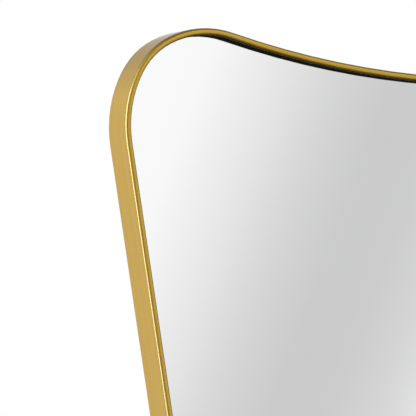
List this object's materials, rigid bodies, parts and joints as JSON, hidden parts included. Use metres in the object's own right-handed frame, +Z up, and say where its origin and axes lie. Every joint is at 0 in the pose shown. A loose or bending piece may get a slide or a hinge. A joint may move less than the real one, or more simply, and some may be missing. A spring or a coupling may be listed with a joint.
{
  "type": "wall mirror",
  "caption": "Flared wall mirror with round shoulders and a dipped top, held in a thin brass-finished band with a rounded lip, hung by swinging D-rings behind.",
  "frame": {"origin": "in the plane of the wall, at half the height and half the width of the mirror", "axes": "+X to the right seen from the front, +Y into the wall, +Z up; the mirror faces -Y"},
  "size_m": [0.54, 0.0269, 0.7],
  "materials": {
    "brass_band": "satin brushed brass plating",
    "mirror": "silvered glass",
    "gasket_rubber": "matte black",
    "film": "grey-blue safety film",
    "block_plastic": "matte",
    "foam": "open foam",
    "board_fibre": "raw fibreboard",
    "tab_steel": "zinc plated",
    "screw_steel": "zinc plated",
    "hanger_steel": "zinc plated",
    "ring_steel": "nickel plated",
    "bumper_rubber": "matte"
  },
  "bodies": {
    "root": {"frame_band": "brass_band", "glass_gasket": "gasket_rubber", "mirror_glass": "mirror", "safety_film": "film", "setting_block_left": "block_plastic", "setting_block_right": "block_plastic", "foam_tape": "foam", "backing_board": "board_fibre", "fixing_tab_01": "tab_steel", "fixing_tab_02": "tab_steel", "fixing_tab_03": "tab_steel", "fixing_tab_04": "tab_steel", "fixing_tab_05": "tab_steel", "fixing_tab_06": "tab_steel", "fixing_tab_07": "tab_steel", "fixing_tab_08": "tab_steel", "fixing_tab_09": "tab_steel", "fixing_tab_10": "tab_steel", "tab_screws": "screw_steel", "hanger_plate_left": "hanger_steel", "hanger_plate_right": "hanger_steel", "hanger_screws_left": "screw_steel", "hanger_screws_right": "screw_steel", "bumper_upper_left": "bumper_rubber", "bumper_upper_right": "bumper_rubber", "bumper_lower_left": "bumper_rubber", "bumper_lower_right": "bumper_rubber"},
    "ring_left": {"d_ring_left": "ring_steel"},
    "ring_right": {"d_ring_right": "ring_steel"}
  },
  "joints": [
    {"name": "hanger_ring_left", "type": "hinge", "parent": "root", "child": "ring_left", "pos_m": [-0.15, -0.005, 0.17], "axis": [1, 0, 0], "range_deg": [0, 180]},
    {"name": "hanger_ring_right", "type": "hinge", "parent": "root", "child": "ring_right", "pos_m": [0.15, -0.005, 0.17], "axis": [1, 0, 0], "range_deg": [0, 180]}
  ]
}
